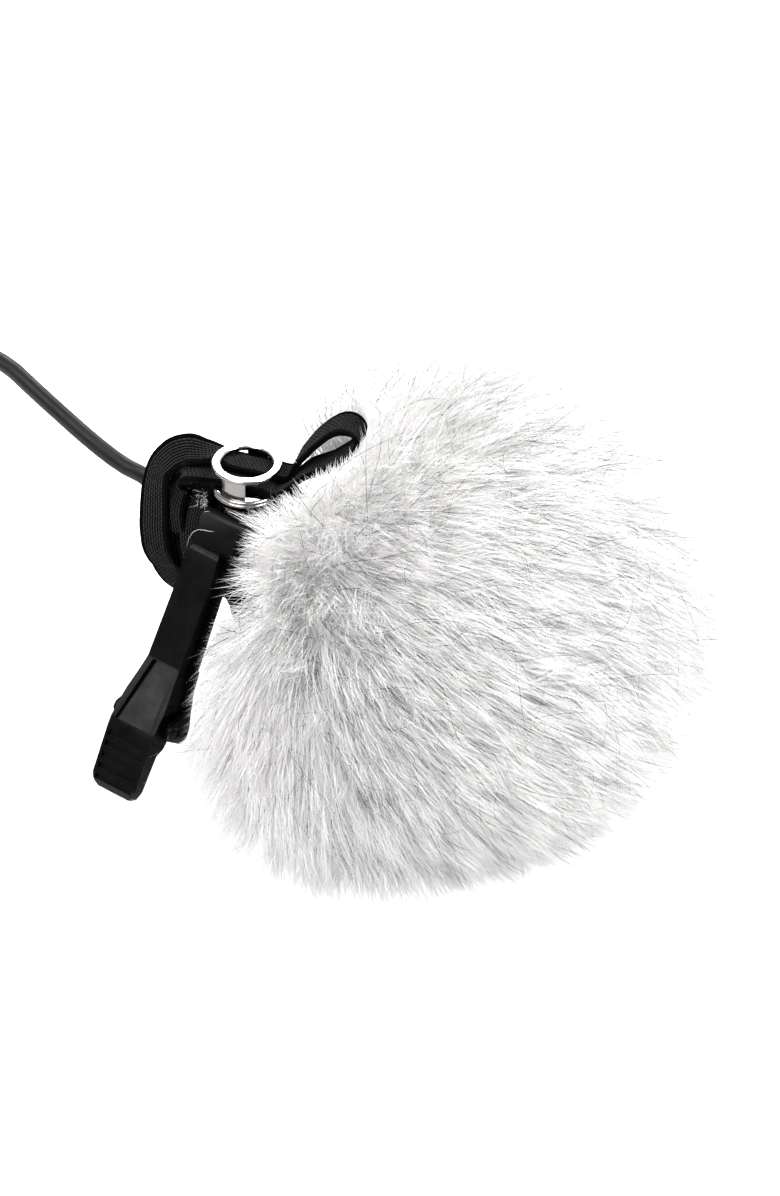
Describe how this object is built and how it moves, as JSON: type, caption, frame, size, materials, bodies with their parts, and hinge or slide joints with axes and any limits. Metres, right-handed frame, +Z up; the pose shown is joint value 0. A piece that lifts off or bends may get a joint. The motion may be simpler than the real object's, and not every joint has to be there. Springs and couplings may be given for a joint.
{
  "type": "lavalier microphone",
  "caption": "Clip-on lavalier microphone in a round white fur windshield, tied with a black elastic strap and metal slider, with a sprung tie clip and short cable.",
  "frame": {"origin": "centre of the flattened underside of the fur ball, on the surface it rests on", "axes": "+Z up from the resting surface, -Y towards the viewer of the clip side, +X away from the clip"},
  "size_m": [0.1204, 0.0935, 0.063],
  "materials": {
    "fur_pile": "long soft white pile",
    "bag_knit": "knitted backing, pale grey",
    "black_knit": "fine black rib knit, matte",
    "black_elastic": "ribbed black elastic, matte",
    "bright_nickel": "bright nickel plate",
    "satin_black_plastic": "satin black",
    "spring_steel": "bright spring steel",
    "black_metal": "satin black",
    "fine_mesh": "fine woven mesh",
    "can_metal": "satin",
    "gold_plate": "gold plate",
    "pale_plastic": "satin",
    "board_green": "satin solder mask",
    "black_rubber": "matte",
    "grey_foam": "open-cell foam",
    "cable_black": "matte, soft highlight",
    "copper_core": "stranded copper in insulation"
  },
  "bodies": {
    "windshield": {"fur_cover": "fur_pile", "fur_backing": "bag_knit", "neck_cuff": "black_knit", "strap_turn_front": "black_elastic", "strap_turn_rear": "black_elastic", "strap_pull_loop": "black_elastic", "clip_jaw": "satin_black_plastic", "mic_holder": "satin_black_plastic", "clip_pin": "spring_steel", "clip_spring": "spring_steel", "mic_housing": "black_metal", "mic_grille": "black_metal", "acoustic_mesh": "fine_mesh", "capsule_can": "can_metal", "diaphragm_ring": "gold_plate", "diaphragm": "gold_plate", "diaphragm_spacer": "pale_plastic", "back_plate": "can_metal", "insulator_ring": "pale_plastic", "amplifier_board": "board_green", "capsule_seat": "black_rubber", "foam_windscreen": "grey_foam", "cable_boot": "black_rubber", "cable_jacket": "cable_black", "cable_core": "copper_core", "plug_tip": "gold_plate", "plug_insulator_tip": "black_rubber", "plug_ring_front": "gold_plate", "plug_insulator_mid": "black_rubber", "plug_ring_rear": "gold_plate", "plug_insulator_rear": "black_rubber", "plug_sleeve": "gold_plate", "plug_shell": "black_metal", "plug_boot": "black_rubber"},
    "lever": {"clip_lever": "satin_black_plastic"},
    "slider": {"slider_upper_ring": "bright_nickel", "slider_lower_ring": "bright_nickel"}
  },
  "joints": [
    {"name": "lever_hinge", "type": "hinge", "parent": "windshield", "child": "lever", "pos_m": [-0.04612, -0.00226, 0.01211], "axis": [0.7147, -0.6967, 0.0619], "range_deg": [0, 20], "stiffness_Nm_per_rad": 0.06, "springref_deg": -20.05},
    {"name": "strap_slide", "type": "slide", "parent": "windshield", "child": "slider", "axis": [0.9326, -0.361, 0], "range_m": [-0.001, 0.001]}
  ]
}
